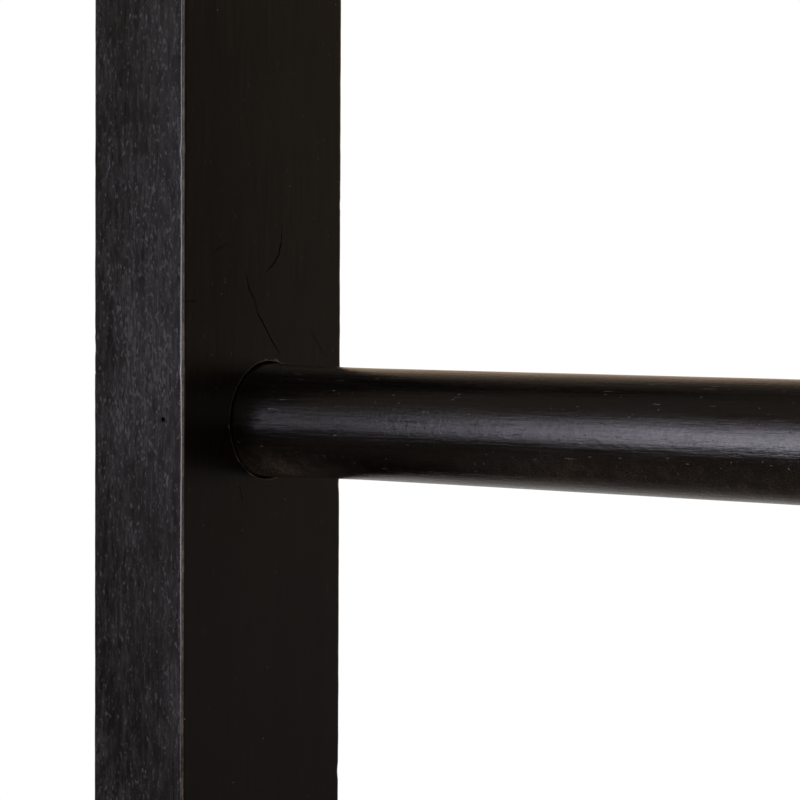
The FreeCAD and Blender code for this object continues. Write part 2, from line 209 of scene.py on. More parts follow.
def board(name, outline, low_x, high_x, ease, crown=0.0):
    """A board cut to an outline (y, z) and as thick as low_x to high_x.  Its arrises are rounded over
    by ease(y, z, side), in metres, so that they can be worn unevenly.  Its edges stand proud in their
    middle by the crown, as sanding leaves them.  The attribute "wear" is 1 on the crest of each arris
    and 0 on the flats."""
    steps = 6
    support = 0.35 * MM
    outward = mitres(outline)
    points, wear_and_painted_light, rings = [], [], 0
    for side, face_x in ((-1, low_x), (1, high_x)):
        turns = [math.pi / 2 * i / steps for i in range(steps + 1)]
        if side < 0:
            turns.reverse()
        ends = [(0.0, support)], [(math.pi / 2, support)]
        stations = ends[side < 0] + [(turn, 0.0) for turn in turns] + ends[side > 0]
        if side > 0 and crown > 0:
            for index in range(1, CROWN_STEPS):
                across = index / CROWN_STEPS
                lift = crown * 4 * across * (1 - across)
                for (y, z), mitre in zip(outline, outward):
                    edges = [ease(y, z, which) + support for which in (-1, 1)]
                    low, high = low_x + edges[0], high_x - edges[1]
                    points.append((low + (high - low) * across, y - mitre.x * (crown - lift),
                                   z - mitre.y * (crown - lift)))
                    wear_and_painted_light.append(0.0)
                rings += 1
        for turn, extra in stations:
            on_face = extra > 0 and turn > 0
            for (y, z), mitre in zip(outline, outward):
                radius = ease(y, z, side)
                inset = crown + radius * (1 - math.cos(turn)) + (extra if on_face else 0)
                inward = radius * (1 - math.sin(turn)) + (extra if extra > 0 and not on_face else 0)
                points.append((face_x - side * inward, y - mitre.x * inset, z - mitre.y * inset))
                wear_and_painted_light.append(math.sin(2 * turn) if extra == 0 else 0.0)
            rings += 1
    count = len(outline)
    faces = ring_faces(rings, count)
    faces.append(tuple(reversed(range(count))))
    faces.append(tuple(range((rings - 1) * count, rings * count)))
    piece = make_piece(name, points, faces)
    store_wear_and_painted_light(piece, wear_and_painted_light)
    return piece


def store_wear_and_painted_light(piece, values):
    attribute = piece.data.attributes.new("wear_and_painted_light", "FLOAT", "POINT")
    attribute.data.foreach_set("value", values)


def face_outwards(piece):
    shape = bmesh.new()
    shape.from_mesh(piece.data)
    bmesh.ops.recalc_face_normals(shape, faces=shape.faces)
    shape.to_mesh(piece.data)
    shape.free()


def join_pieces(name, parts):
    """One object of several, which are removed."""
    shape = bmesh.new()
    for part in parts:
        shape.from_mesh(part.data)
        bpy.data.objects.remove(part)
    mesh = bpy.data.meshes.new(name)
    shape.to_mesh(mesh)
    shape.free()
    return in_scene(name, mesh)


def apply_modifiers(piece):
    graph = bpy.context.evaluated_depsgraph_get()
    mesh = bpy.data.meshes.new_from_object(piece.evaluated_get(graph))
    piece.modifiers.clear()
    old = piece.data
    piece.data = mesh
    bpy.data.meshes.remove(old)


def cut_away(piece, cutters):
    """Take the cutters' space out of a piece.  The cutters don't touch each other."""
    for cutter in cutters:
        face_outwards(cutter)
        if "wear_and_painted_light" not in cutter.data.attributes:
            store_wear_and_painted_light(cutter, [0.0] * len(cutter.data.vertices))
    cutter = join_pieces(piece.name + "_cutter", cutters)
    face_outwards(piece)
    change = piece.modifiers.new("holes", "BOOLEAN")
    change.operation = "DIFFERENCE"
    change.solver = "EXACT"
    change.object = cutter
    apply_modifiers(piece)
    bpy.data.objects.remove(cutter)


def finish_shading(piece, sharp=35):
    """Smooth shading that keeps flats flat, cut edges crisp and the walls of cracks plain."""
    mesh = piece.data
    mesh.polygons.foreach_set("use_smooth", [True] * len(mesh.polygons))
    mesh.set_sharp_from_angle(angle=math.radians(sharp))
    if "wear_and_painted_light" in mesh.attributes:
        crack_painted_shade = [held.value < -0.5 for held in mesh.attributes["wear_and_painted_light"].data]
        for polygon in mesh.polygons:
            if any(crack_painted_shade[corner] for corner in polygon.vertices):
                for loop in polygon.loop_indices:
                    mesh.edges[mesh.loops[loop].edge_index].use_edge_sharp = True
    change = piece.modifiers.new("flat faces stay flat", "WEIGHTED_NORMAL")
    change.keep_sharp = True
    change.weight = 80
    apply_modifiers(piece)


# ---------------------------------------------------------------------------------------------
# The wooden pieces
# ---------------------------------------------------------------------------------------------

def uneven(seed, y, z, side, grain):
    """A slow random wander from -1 to 1 along an edge."""
    return noise.noise(Vector((seed * 7.3 + side * 11.7, y * grain, z * grain)))


def worn_ease(seed, base, dents):
    """How far an arris is rounded over: a wandering radius, and deeper where it has been knocked."""
    def ease(y, z, side):
        slow = uneven(seed, y, z, side, 28)
        fast = uneven(seed + 5, y, z, side, 260)
        radius = base * (1 + 0.20 * slow + 0.14 * fast)
        for dent_y, dent_z, dent_side, length, depth in dents:
            if side == dent_side:
                away = math.hypot(y - dent_y, z - dent_z) / (length / 2)
                if away < 1:
                    radius += depth * (1 - away * away) ** 1.5
        return radius
    return ease


def random_dents(seed, edges, count):
    """Knocks scattered along straight edges, each (y, low z, high z)."""
    chance = random.Random(seed)
    dents = []
    for _ in range(count):
        y, low, high = chance.choice(edges)
        z = chance.uniform(low, high)
        side = chance.choice((-1, 1))
        length = chance.uniform(1.5, 6.0) * MM
        dents.append((y, z, side, length, length * chance.uniform(0.04, 0.10)))
    return dents


def random_chips(seed):
    """A few small chips along the lip of a seat."""
    chance = random.Random(seed)
    return [(chance.uniform(-180, 180), chance.uniform(3, 6), chance.uniform(0.1, 0.4) * MM)
            for _ in range(chance.randint(2, 5))]


def seat_cutter(side, height, seed, chips):
    """The blind seat of a bar, a little wider at its mouth, and the bolt's hole and counterbore.
    The lip is thinly rounded and rubbed pale.  chips are (angle, half width, depth) along the lip,
    with angle 0 at the top and 90 degrees at the back, in degrees and metres."""
    chance = random.Random(seed)
    phase = [chance.uniform(0, 2 * math.pi) for _ in range(3)]
    mouth = SEAT_MOUTH_RADIUS
    over = 0.5 * MM
    thickness = POST_OUTER - POST_INNER

    def wobble(distance, angle):
        if distance > SEAT_LIP:
            return 0
        ragged = math.sin(3 * angle + phase[0]) + 0.7 * math.sin(7 * angle + phase[1])
        ragged += 0.6 * math.sin(19 * angle + phase[2])
        reach = 0.04 * MM * ragged
        turned_to = math.degrees(angle) * -side
        for where, half_width, depth in chips:
            away = abs((turned_to - where + 180) % 360 - 180) / half_width
            if away < 1:
                reach += depth * (1 - away * away)
        return reach * (1 - max(0, distance) / SEAT_LIP)

    turns = (0, 0.4, 0.8, 1.2, math.pi / 2)
    lip = [(SEAT_LIP * (1 - math.cos(t)), mouth + SEAT_LIP * (1 - math.sin(t))) for t in turns]
    profile = [(-over, 0), (-over, mouth + SEAT_LIP)] + lip + [
        (SEAT_MOUTH_DEPTH, mouth), (SEAT_MOUTH_DEPTH + mouth - SEAT_RADIUS, SEAT_RADIUS),
        (SEAT_DEPTH, SEAT_RADIUS), (SEAT_DEPTH, BOLT_HOLE_RADIUS),
        (thickness - COUNTERBORE_DEPTH, BOLT_HOLE_RADIUS),
        (thickness - COUNTERBORE_DEPTH, COUNTERBORE_RADIUS),
        (thickness + over, COUNTERBORE_RADIUS), (thickness + over, 0)]
    start = Vector((side * POST_INNER, BAR_Y, height))
    segments = 180
    return turned("seat", profile, start, Vector((side, 0, 0)), Vector((0, 0, 1)), segments, wobble)


def drilled(start, along, radius, depth):
    """A plain drilled hole, entered from half a millimetre outside."""
    over = 0.5 * MM
    across = Vector((0, 1, 0)) if abs(along.y) < 0.5 else Vector((1, 0, 0))
    profile = [(-over, 0), (-over, radius), (depth, radius), (depth, 0)]
    return turned("hole", profile, start, along, across, 32)


def hairline(path, face_x, outward, width, depth):
    """A fine crack as a wedge to cut away, steep enough for its walls to hide each other from the
    light.  The path is (y, z) on the face, and the width is the crack's width there.  The wedge
    stands proud of the face, so that it cuts cleanly."""
    points = []
    proud = 0.3
    last = len(path) - 1
    for index, (y, z) in enumerate(path):
        here = Vector((y, z))
        back = Vector(path[max(index - 1, 0)])
        ahead = Vector(path[min(index + 1, last)])
        run = (ahead - back).normalized()
        taper = math.sin(math.pi * (index + 0.35) / (last + 0.7)) ** 0.6
        square = Vector((-run.y, run.x)) * width / 2 * taper
        for sign in (-1, 1):
            edge = here + square * sign * (1 + proud)
            points.append((face_x + outward * depth * taper * proud, edge.x, edge.y))
        points.append((face_x - outward * depth * taper, here.x, here.y))
    faces = ring_faces(last + 1, 3) + [(0, 2, 1), (3 * last, 3 * last + 1, 3 * last + 2)]
    return make_piece("crack", points, faces)


def wandering(points, seed, step, amount):
    """A drawn line divided into short uneven steps."""
    line = []
    for (y0, z0), (y1, z1) in zip(points, points[1:]):
        a, b = Vector((y0, z0)), Vector((y1, z1))
        pieces = max(1, round((b - a).length / step))
        for i in range(pieces):
            here = a.lerp(b, i / pieces)
            shake = noise.noise(Vector((here.x * 900, here.y * 900, seed)))
            line.append((here.x + shake * amount, here.y))
    line.append(points[-1])
    return line


# Cracks and scratches in the inner face of the left post, above and beside the upper bar's seat:
# a width and a depth, and points back from and up from the bar's axis, all in millimetres.
LEFT_POST_CRACKS = (
    (0.50, 0.70, ((4.8, 51.5), (4.6, 47), (3.4, 43.5), (1.2, 41), (-1.8, 38.8))),
    (0.34, 0.50, ((-9.6, 39.2), (-8.4, 34.6), (-5.2, 30.5))),
    (0.44, 0.62, ((-6.0, 31.4), (-5.0, 28.4), (-2.4, 25.2), (0.2, 21.8), (2.6, 19.0), (4.3, 17.2))),
    (0.22, 0.32, ((16.8, 23.3), (19.5, 20), (23.2, 16.2))),
    (0.26, 0.36, ((-33.0, 31.1), (-30.5, 31.5), (-28.2, 31.2))),
    (0.20, 0.28, ((-16.5, 46.3), (-19.5, 45.2), (-23.0, 43.7))),
    (0.26, 0.36, ((-12.3, -15.9), (-11.4, -18.5), (-10.4, -22))),
    (0.20, 0.28, ((12.7, 35.6), (12.9, 33))),
)
DEEPEST_CRACK = max(depth for width, depth, path in LEFT_POST_CRACKS) * MM
# Chips in the lip of that seat: where in degrees, half width in degrees, depth.
UPPER_SEAT_CHIPS = ((10, 3.5, 0.55 * MM), (-5, 3, 0.35 * MM), (-94, 3, 0.55 * MM), (-84, 2, 0.2 * MM),
                    (-62, 4, 0.15 * MM), (-128, 5, 0.25 * MM), (-150, 6, 0.2 * MM))


def mark_lips_and_cracks(post):
    """The attribute of wear and painted light becomes LIP_WEAR on the seats' rounded lips, 0 where the
    lips meet the face and -1 deep in the cracks, where it paints shade: the stain there is drawn at its
    darkest."""
    heights = [middle(bar).z for bar in BARS]
    lip_reach = SEAT_MOUTH_RADIUS + SEAT_LIP + 1 * MM
    on_face = 0.004 * MM
    crack_reach, crack_floor = POST_HIGH.y - 2 * EASE, FOOT_HIGH.z + 50 * MM
    for vertex, held in zip(post.data.vertices, post.data.attributes["wear_and_painted_light"].data):
        depth = abs(vertex.co.x) - POST_INNER
        if abs(depth) > DEEPEST_CRACK + 0.05 * MM:
            continue
        below = depth > on_face
        from_seat = min(math.hypot(vertex.co.y - BAR_Y, vertex.co.z - height) for height in heights)
        if from_seat < lip_reach:
            held.value = LIP_WEAR if below else 0.0
        elif below and abs(vertex.co.y) < crack_reach and vertex.co.z > crack_floor:
            held.value = -1.0


def make_nicks(seat_z):
    """A nick across the front of the left post's outer arris, and a small pit beside its inner one."""
    front = Vector((-POST_OUTER, POST_LOW.y + 0.2 * MM, seat_z + 12.5 * MM))
    nick = turned("nick", [(-1 * MM, 0), (-1 * MM, 0.6 * MM), (1.6 * MM, 0.5 * MM),
                           (2.6 * MM, 0.2 * MM), (2.6 * MM, 0)],
                  front, Vector((1, 0, 0.06)).normalized(), Vector((0, 1, 0)), 12)
    face = Vector((-POST_INNER - 6.8 * MM, POST_LOW.y, seat_z + 1 * MM))
    pit = turned("pit", [(-1 * MM, 0), (-1 * MM, 0.75 * MM), (0.1 * MM, 0.65 * MM),
                         (1.2 * MM, 0.4 * MM), (1.2 * MM, 0)],
                 face, Vector((0, 1, 0)), Vector((0, 0, 1)), 14)
    return [nick, pit]


def make_post(side_name, side):
    node = side_name + "_upright"
    low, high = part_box(node)
    outline = rounded_outline([(low.y, low.z, 0), (high.y, low.z, 0), (high.y, high.z, POST_TOP_ROUND),
                               (low.y, high.z, POST_TOP_ROUND)], 1.2 * MM)
    edges = [(low.y, low.z, high.z), (high.y, low.z, high.z)]
    dents = random_dents(31 + side, edges, 60)
    worn = worn_ease(3 + side, EASE, dents)

    def ease(y, z, which):
        above_foot = min(1.0, (z - low.z) / (3 * MM))
        return SHARP_EASE + (worn(y, z, which) - SHARP_EASE) * above_foot

    post = board("post_" + side_name, outline, low.x, high.x, ease, POST_CROWN)
    cutters = []
    for index, bar in enumerate(BARS):
        known = side < 0 and bar == "upper_bar"
        chips = UPPER_SEAT_CHIPS if known else random_chips(60 + 9 * side + index)
        cutters.append(seat_cutter(side, middle(bar).z, 50 + index, chips))
    for end_name in ("front", "back"):
        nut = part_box("%s_%s_barrel_nut" % (side_name, end_name))
        centre = (nut[0] + nut[1]) / 2
        entry = Vector((side * POST_INNER, centre.y, centre.z))
        depth = (POST_OUTER - POST_INNER) / 2 + (nut[1].x - nut[0].x) / 2
        nut_hole = drilled(entry, Vector((side, 0, 0)), NUT_HOLE_RADIUS, depth)
        foot_end = Vector((centre.x, centre.y, low.z))
        bolt_hole = drilled(foot_end, Vector((0, 0, 1)), BOLT_HOLE_RADIUS, POST_BOLT_HOLE_DEPTH)
        cut_away(post, [bolt_hole])
        cutters.append(nut_hole)
    cutters.append(drilled(Vector((middle(node).x, 0, low.z)), Vector((0, 0, 1)),
                           PIN_HOLE_RADIUS, PIN_HOLE_DEPTH))
    if side < 0:
        seat_z = middle("upper_bar").z
        for index, (width, depth, crack) in enumerate(LEFT_POST_CRACKS):
            path = [(BAR_Y + y * MM, seat_z + z * MM) for y, z in crack]
            path = wandering(path, index, 1.2 * MM, 0.3 * MM)
            cutters.append(hairline(path, -POST_INNER, 1, width * MM, depth * MM))
        cutters += make_nicks(seat_z)
    cut_away(post, cutters)
    mark_lips_and_cracks(post)
    finish_shading(post)
    return post, node


def make_foot(side_name, side):
    node = side_name + "_foot"
    low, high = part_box(node)
    shoulder = FOOT_FLAT_TOP / 2
    toe_top = low.z + FOOT_TOE_HEIGHT
    arch = FOOT_ARCH_CHORD / 2
    radius = (arch ** 2 + FOOT_ARCH_RISE ** 2) / (2 * FOOT_ARCH_RISE)
    reach = math.asin(arch / radius)
    crown = (0.0, low.z + FOOT_ARCH_RISE - radius)
    under = arc_points(crown, radius, math.pi / 2 + reach, math.pi / 2 - reach, 8 * MM)
    corners = [(y, z, 0) for y, z in under] + [
        (high.y, low.z, FOOT_HEEL_ROUND), (high.y, toe_top, FOOT_TOE_ROUND),
        (shoulder, high.z, FOOT_SHOULDER_ROUND), (-shoulder, high.z, FOOT_SHOULDER_ROUND),
        (low.y, toe_top, FOOT_TOE_ROUND), (low.y, low.z, FOOT_HEEL_ROUND)]
    outline = rounded_outline(corners, 1.5 * MM)
    dents = random_dents(77 + side, [(low.y, low.z, toe_top), (high.y, low.z, toe_top)], 5)
    worn = worn_ease(12 + side, EASE, dents)
    foot = board("foot_" + side_name, outline, low.x, high.x, worn)

    centre_x = (low.x + high.x) / 2
    up = Vector((0, 0, 1))
    bores, counterbores = [], []
    for end_name in ("front", "back"):
        bolt_y = middle("%s_%s_foot_bolt" % (side_name, end_name)).y
        base = Vector((centre_x, bolt_y, low.z))
        counterbores.append(drilled(base, up, FOOT_COUNTERBORE_RADIUS, FOOT_COUNTERBORE_DEPTH))
        bores.append(drilled(base, up, BOLT_HOLE_RADIUS, high.z - low.z + MM))
        nail = Vector((centre_x, middle("%s_%s_glide" % (side_name, end_name)).y, low.z))
        counterbores.append(drilled(nail, up, NAIL_HOLE_RADIUS, NAIL_HOLE_DEPTH))
    top = Vector((centre_x, 0, high.z))
    counterbores.append(drilled(top, -up, PIN_HOLE_RADIUS, PIN_HOLE_DEPTH))
    cut_away(foot, counterbores)
    cut_away(foot, bores)
    finish_shading(foot)
    return foot, node


def make_bar(bar, seed):
    """A round bar, turned by hand and sanded: never quite round, never quite the same thickness."""
    axis_z = middle(bar).z
    straight = POST_INNER - SWELL_LENGTH
    rise = SHOULDER_RADIUS - BAR_RADIUS
    swell_radius = (SWELL_LENGTH ** 2 + rise ** 2) / (2 * rise)
    half = [(BAR_END - BOLT_HOLE_DEPTH, 0), (BAR_END - BOLT_HOLE_DEPTH, BOLT_HOLE_RADIUS),
            (BAR_END - SOCKET_DEPTH, BOLT_HOLE_RADIUS), (BAR_END - SOCKET_DEPTH, SOCKET_RADIUS),
            (BAR_END, SOCKET_RADIUS), (BAR_END, SHOULDER_RADIUS - BAR_END_CHAMFER),
            (BAR_END - BAR_END_CHAMFER, SHOULDER_RADIUS), (POST_INNER, SHOULDER_RADIUS)]
    swell_steps = 14
    for i in range(1, swell_steps + 1):
        x = POST_INNER - SWELL_LENGTH * i / swell_steps
        sag = swell_radius - math.sqrt(swell_radius ** 2 - (x - straight) ** 2)
        half.append((x, BAR_RADIUS + sag))
    spacing = 3 * MM
    count = round(straight / spacing)
    half += [(straight * (1 - i / count), BAR_RADIUS) for i in range(1, count)]
    profile = [(-x, r) for x, r in half] + [(0, BAR_RADIUS)] + [(x, r) for x, r in reversed(half)]

    def wobble(distance, angle):
        clear = min(1.0, max(0.0, (POST_INNER - abs(distance)) / (30 * MM)))
        around = Vector((math.cos(angle), math.sin(angle), 0)) * 0.9
        slow = noise.noise(around + Vector((0, seed * 3.1, distance * 11)))
        tool = noise.noise(around * 2.2 + Vector((seed, 0, distance * 60)))
        return clear * (0.09 * MM * slow + 0.025 * MM * tool)

    start = Vector((0, BAR_Y, axis_z))
    piece = turned(bar.replace("_bar", "") + "_rail", profile, start, Vector((1, 0, 0)),
                   Vector((0, 0, 1)), 72, wobble)
    # How brown the underside is drawn, most at the bottom: dust swept against the posts, only a trace from 42 to     55 mm out, and beyond that dust with a painted reflection of the brown floor below.
    wear_and_painted_light = []
    for vertex in piece.data.vertices:
        from_joint = POST_INNER - abs(vertex.co.x)
        underneath = max(0, (axis_z - vertex.co.z) / BAR_RADIUS)
        swept = 1.5 * max(0, min(1, 1 - from_joint / (42 * MM)))
        far_dust_and_reflection = max(0, min(1, (from_joint - 55 * MM) / (45 * MM)))
        wear_and_painted_light.append(swept * underneath ** 4 + 0.5 * far_dust_and_reflection * underneath ** 1.5 + 0.06 * underneath)
    store_wear_and_painted_light(piece, wear_and_painted_light)
    face_outwards(piece)
    finish_shading(piece, sharp=40)
    return piece, bar


# ---------------------------------------------------------------------------------------------
# Node helpers
# ---------------------------------------------------------------------------------------------

def feed(tree, socket, given):
    """Link a socket to another, or set its own value."""
    if isinstance(given, bpy.types.NodeSocket):
        tree.links.new(given, socket)
    else:
        socket.default_value = given


def add_node(tree, kind, settings=None, inputs=None):
    made = tree.nodes.new(kind)
    for setting, choice in (settings or {}).items():
        setattr(made, setting, choice)
    for name, given in (inputs or {}).items():
        feed(tree, made.inputs[name], given)
    return made


def maths(tree, operation, *values, clamp=False):
    made = add_node(tree, "ShaderNodeMath", {"operation": operation, "use_clamp": clamp})
    for socket, given in zip(made.inputs, values):
        feed(tree, socket, given)
    return made.outputs[0]


def scaled(tree, vector, factors):
    made = add_node(tree, "ShaderNodeVectorMath", {"operation": "MULTIPLY"})
    feed(tree, made.inputs[0], vector)
    feed(tree, made.inputs[1], factors)
    return made.outputs[0]


def moved(tree, vector, seed):
    """The vector shifted along an odd direction, so that each seed gives another pattern."""
    made = add_node(tree, "ShaderNodeVectorMath", {"operation": "MULTIPLY_ADD"})
    feed(tree, made.inputs[0], (17.13, 9.71, 5.37))
    feed(tree, made.inputs[1], add_node(tree, "ShaderNodeCombineXYZ", None,
                                        {"X": seed, "Y": seed, "Z": seed}).outputs[0])
    feed(tree, made.inputs[2], vector)
    return made.outputs[0]


def spread(tree, value, low, high, to_low=0.0, to_high=1.0):
    """Stretch the range low to high smoothly over another range."""
    made = add_node(tree, "ShaderNodeMapRange", {"interpolation_type": "SMOOTHSTEP"},
                    {"Value": value, "From Min": low, "From Max": high,
                     "To Min": to_low, "To Max": to_high})
    return made.outputs["Result"]


def blend_colours(tree, factor, first, second):
    made = add_node(tree, "ShaderNodeMix", {"data_type": "RGBA"})
    feed(tree, made.inputs[0], factor)
    feed(tree, made.inputs[6], first)
    feed(tree, made.inputs[7], second)
    return made.outputs[2]


def noise_at(tree, vector, seed, scale, detail=3.0, roughness=0.55, distortion=0.0):
    made = add_node(tree, "ShaderNodeTexNoise", {"noise_dimensions": "4D"},
                    {"Vector": vector, "W": seed, "Scale": scale, "Detail": detail,
                     "Roughness": roughness, "Distortion": distortion})
    return made.outputs["Fac"]


def new_group(name, numbers, outputs=("Mask",)):
    """A shader node group that takes a position, a seed and numbers, named here with their defaults."""
    tree = bpy.data.node_groups.new(name, "ShaderNodeTree")
    tree.interface.new_socket("Position", in_out="INPUT", socket_type="NodeSocketVector")
    for socket_name, default in {"Seed": 0.0, **numbers}.items():
        socket = tree.interface.new_socket(socket_name, in_out="INPUT", socket_type="NodeSocketFloat")
        socket.default_value = default
    for socket_name in outputs:
        tree.interface.new_socket(socket_name, in_out="OUTPUT", socket_type="NodeSocketFloat")
    entry = tree.nodes.new("NodeGroupInput")
    leave = tree.nodes.new("NodeGroupOutput")
    return tree, entry.outputs, leave.inputs


def effect(tree, group, place, seed, **numbers):
    """The outputs of a node group at a place, with its numbers set by name."""
    made = add_node(tree, "ShaderNodeGroup", {"node_tree": group})
    for name, given in {"Position": place, "Seed": seed, **numbers}.items():
        feed(tree, made.inputs[name], given)
    return made.outputs


# ---------------------------------------------------------------------------------------------
# Shared effects.  Each takes a position in millimetres with the grain along Z.
# ---------------------------------------------------------------------------------------------

def long_grain_group():
    """Fibre: fine streaks along the grain.  Figure: broad soft bands of early and late wood."""
    tree, given, out = new_group("long_grain", {}, ("Fibre", "Figure"))
    fine = scaled(tree, given["Position"], (1.0, 1.0, 0.03))
    broad = scaled(tree, given["Position"], (1.0, 1.0, 0.012))
    fibre = noise_at(tree, fine, given["Seed"], 1.5, detail=5.0, roughness=0.7)
    figure = noise_at(tree, broad, given["Seed"], 0.11, detail=4.0, roughness=0.6, distortion=0.4)
    feed(tree, out["Fibre"], spread(tree, fibre, 0.28, 0.72))
    feed(tree, out["Figure"], spread(tree, figure, 0.3, 0.7))
    return tree


def open_pores_group():
    """Short dashes along the grain, scattered at random: the wood's open pores."""
    tree, given, out = new_group("open_pores", {"Length": 3.0, "Width": 0.3, "Share": 0.4})
    spacing = 3.2
    shake = add_node(tree, "ShaderNodeTexNoise", None,
                     {"Vector": given["Position"], "Scale": 1.1, "Detail": 2.0})
    bent = add_node(tree, "ShaderNodeVectorMath", {"operation": "MULTIPLY_ADD"})
    feed(tree, bent.inputs[0], shake.outputs["Color"])
    feed(tree, bent.inputs[1], (0.7, 0.7, 0.7))
    feed(tree, bent.inputs[2], given["Position"])
    across = maths(tree, "DIVIDE", 1 / spacing, given["Width"])
    along = maths(tree, "DIVIDE", 1 / spacing, given["Length"])
    stretch = add_node(tree, "ShaderNodeCombineXYZ", None, {"X": across, "Y": across, "Z": along})
    stretched = scaled(tree, bent.outputs[0], stretch.outputs[0])
    cells = add_node(tree, "ShaderNodeTexVoronoi", None,
                     {"Vector": moved(tree, stretched, given["Seed"]), "Scale": 1.0})
    chance = add_node(tree, "ShaderNodeSeparateColor", None, {"Color": cells.outputs["Color"]})
    kept = maths(tree, "LESS_THAN", chance.outputs[0], given["Share"])
    reach = maths(tree, "MULTIPLY_ADD", chance.outputs[2], 0.8 / spacing, 0.35 / spacing)
    nearness = maths(tree, "DIVIDE", cells.outputs["Distance"], reach)
    dash = spread(tree, nearness, 0.55, 1.0, 1.0, 0.0)
    feed(tree, out["Mask"], maths(tree, "MULTIPLY", dash, kept))
    return tree


def cloudy_group():
    """Soft patches, for where a finish is thinner, rubbed or dusty."""
    tree, given, out = new_group("cloudy", {"Size": 30.0, "Low": 0.4, "High": 0.6})
    patches = noise_at(tree, given["Position"], given["Seed"],
                       maths(tree, "DIVIDE", 1.0, given["Size"]), detail=4.0, roughness=0.6)
    feed(tree, out["Mask"], spread(tree, patches, given["Low"], given["High"]))
    return tree


def limed_flecks_group():
    """Small pale uneven flecks in a faint haze, drawn out along the grain and thicker in some patches
    than in others, where polishing dust has stayed in the pores."""
    tree, given, out = new_group("limed_flecks", {"More": 0.0})

    def drawn_out(scale, along, detail, roughness):
        """Noise whose scale along the grain is a share of its scale across."""
        place = scaled(tree, given["Position"], (1.0, 1.0, along))
        return noise_at(tree, place, given["Seed"], scale, detail=detail, roughness=roughness)

    short = drawn_out(1.5, 0.5, 0.8, 0.5)
    long = drawn_out(1.8, 0.14, 1.5, 0.5)
    bands = drawn_out(0.30, 0.10, 2.0, 0.5)
    clouds = drawn_out(0.09, 0.5, 3.0, 0.6)
    shift = maths(tree, "MULTIPLY_ADD", clouds, 0.36, -0.20)
    shift = maths(tree, "ADD", maths(tree, "MULTIPLY_ADD", bands, 0.20, -0.10), shift)
    shift = maths(tree, "ADD", shift, given["More"])
    spots = spread(tree, maths(tree, "ADD", short, shift), 0.50, 0.86)
    streaks = spread(tree, maths(tree, "ADD", long, shift), 0.50, 0.90)
    flecks = maths(tree, "MAXIMUM", spots, maths(tree, "MULTIPLY", streaks, 0.75))
    haze = maths(tree, "ADD", drawn_out(0.75, 0.22, 4.0, 0.7), shift)
    haze = spread(tree, haze, 0.34, 0.82, 0.0, 0.5)
    feed(tree, out["Mask"], maths(tree, "MAXIMUM", flecks, haze))
    return tree


def worn_edge_group():
    """Where an arris is rubbed through the stain: strong on its crest, broken up along its length."""
    tree, given, out = new_group("worn_edge", {"Wear": 0.0, "Amount": 0.6})
    streaked = scaled(tree, given["Position"], (1.0, 1.0, 0.5))
    coarse = noise_at(tree, streaked, given["Seed"], 0.12, detail=3.0, roughness=0.6)
    fine = noise_at(tree, streaked, given["Seed"], 1.3, detail=3.0, roughness=0.6)
    broken = maths(tree, "MULTIPLY_ADD", coarse, 0.7, given["Amount"])
    broken = maths(tree, "MULTIPLY_ADD", fine, 0.6, broken)
    level = maths(tree, "MULTIPLY", given["Wear"], broken)
    feed(tree, out["Mask"], spread(tree, level, 0.72, 1.35))
    return tree


def settled_dust_group():
    """Tiny pale specks of dust, thinly scattered."""
    tree, given, out = new_group("settled_dust", {"Speck": 0.12, "Share": 0.3})
    pitch = 1.7
    cells = add_node(tree, "ShaderNodeTexVoronoi", None,
                     {"Vector": moved(tree, given["Position"], given["Seed"]), "Scale": 1 / pitch})
    chance = add_node(tree, "ShaderNodeSeparateColor", None, {"Color": cells.outputs["Color"]})
    kept = maths(tree, "LESS_THAN", chance.outputs[1], given["Share"])
    size = maths(tree, "MULTIPLY", maths(tree, "DIVIDE", given["Speck"], pitch), chance.outputs[2])
    inside = maths(tree, "LESS_THAN", cells.outputs["Distance"], size)
    feed(tree, out["Mask"], maths(tree, "MULTIPLY", inside, kept))
    return tree


LONG_GRAIN = long_grain_group()
OPEN_PORES = open_pores_group()
CLOUDY = cloudy_group()
LIMED_FLECKS = limed_flecks_group()
WORN_EDGE = worn_edge_group()
SETTLED_DUST = settled_dust_group()


# ---------------------------------------------------------------------------------------------
# Materials
# ---------------------------------------------------------------------------------------------

# Turns that bring a piece's grain onto Z.
GRAIN_TURN = {"x": (0.0, math.pi / 2, 0.0), "y": (math.pi / 2, 0.0, 0.0), "z": (0.0, 0.0, 0.0)}


def new_material(name):
    made = bpy.data.materials.new(name)
    made.use_nodes = True
    tree = made.node_tree
    shader = next(n for n in tree.nodes if n.type == "BSDF_PRINCIPLED")
    return made, tree, shader


def position_mm(tree, grain):
    """The position in millimetres, turned so that the grain runs along Z."""
    where = tree.nodes.new("ShaderNodeTexCoord")
    turned_to = add_node(tree, "ShaderNodeMapping", None,
                         {"Vector": where.outputs["Object"], "Rotation": GRAIN_TURN[grain],
                          "Scale": (1 / MM, 1 / MM, 1 / MM)})
    return turned_to.outputs[0]


STAIN_DARK = (0.0008, 0.0006, 0.0005, 1)
STAIN_LIGHT = (0.0095, 0.0072, 0.0058, 1)
FLECK_GREY = (0.060, 0.059, 0.061, 1)
BARE_TAN = (0.29, 0.24, 0.17, 1)
# The brown of dust, and of the painted reflection of the floor under the bars.
DUST_AND_REFLECTION_BROWN = (0.19, 0.145, 0.105, 1)
DUST_GREY = (0.24, 0.23, 0.21, 1)

